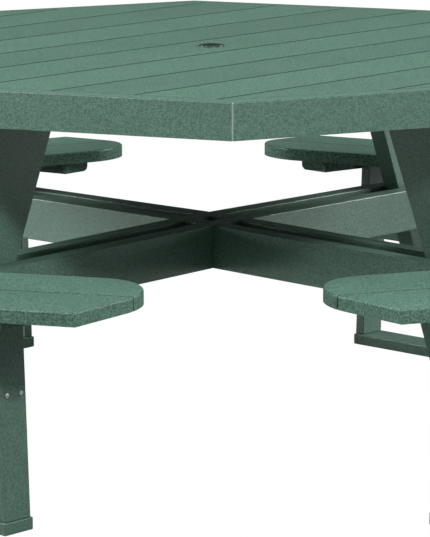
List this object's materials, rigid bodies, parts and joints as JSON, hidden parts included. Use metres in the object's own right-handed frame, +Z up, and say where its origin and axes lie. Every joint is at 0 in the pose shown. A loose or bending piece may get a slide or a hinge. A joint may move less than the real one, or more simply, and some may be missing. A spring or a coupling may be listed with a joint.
{
  "type": "picnic table",
  "caption": "Octagonal walk-in picnic table of plastic boards, with bent seats on crossed arms, slanted legs and an umbrella hole.",
  "frame": {"origin": "the middle of the table, on the floor", "axes": "+Z up; the two pairs of arms run along X and Y, and the slats run along X"},
  "size_m": [2.203, 2.203, 0.7605],
  "materials": {
    "boards": "fine-grained recycled plastic board, dark green, slightly mottled",
    "ring": "smooth moulded plastic, green",
    "fixings": "galvanised, dulled"
  },
  "bodies": {
    "root": {"arm_board_ew_north": "boards", "arm_board_ew_south": "boards", "arm_board_ns_east": "boards", "arm_board_ns_west": "boards", "edge_board_1": "boards", "edge_board_2": "boards", "edge_board_3": "boards", "edge_board_4": "boards", "edge_board_5": "boards", "edge_board_6": "boards", "edge_board_7": "boards", "edge_board_8": "boards", "foot_east": "boards", "foot_north": "boards", "foot_south": "boards", "foot_west": "boards", "frame_screws": "fixings", "leg_bolts": "fixings", "leg_cleats": "boards", "leg_east": "boards", "leg_north": "boards", "leg_south": "boards", "leg_west": "boards", "post_left_east": "boards", "post_left_north": "boards", "post_left_south": "boards", "post_left_west": "boards", "post_right_east": "boards", "post_right_north": "boards", "post_right_south": "boards", "post_right_west": "boards", "seat_bearers": "boards", "seat_inner_boards_east": "boards", "seat_inner_boards_north": "boards", "seat_inner_boards_south": "boards", "seat_inner_boards_west": "boards", "seat_outer_boards_east": "boards", "seat_outer_boards_north": "boards", "seat_outer_boards_south": "boards", "seat_outer_boards_west": "boards", "stretcher_rail_east": "boards", "stretcher_rail_north": "boards", "stretcher_rail_south": "boards", "stretcher_rail_west": "boards", "top_batten_east": "boards", "top_batten_west": "boards", "top_slat_01": "boards", "top_slat_02": "boards", "top_slat_03": "boards", "top_slat_04": "boards", "top_slat_05": "boards", "top_slat_06": "boards", "top_slat_07": "boards", "top_slat_08": "boards", "top_slat_09": "boards", "top_slat_10": "boards", "top_slat_11": "boards", "umbrella_ring": "ring"}
  },
  "joints": []
}
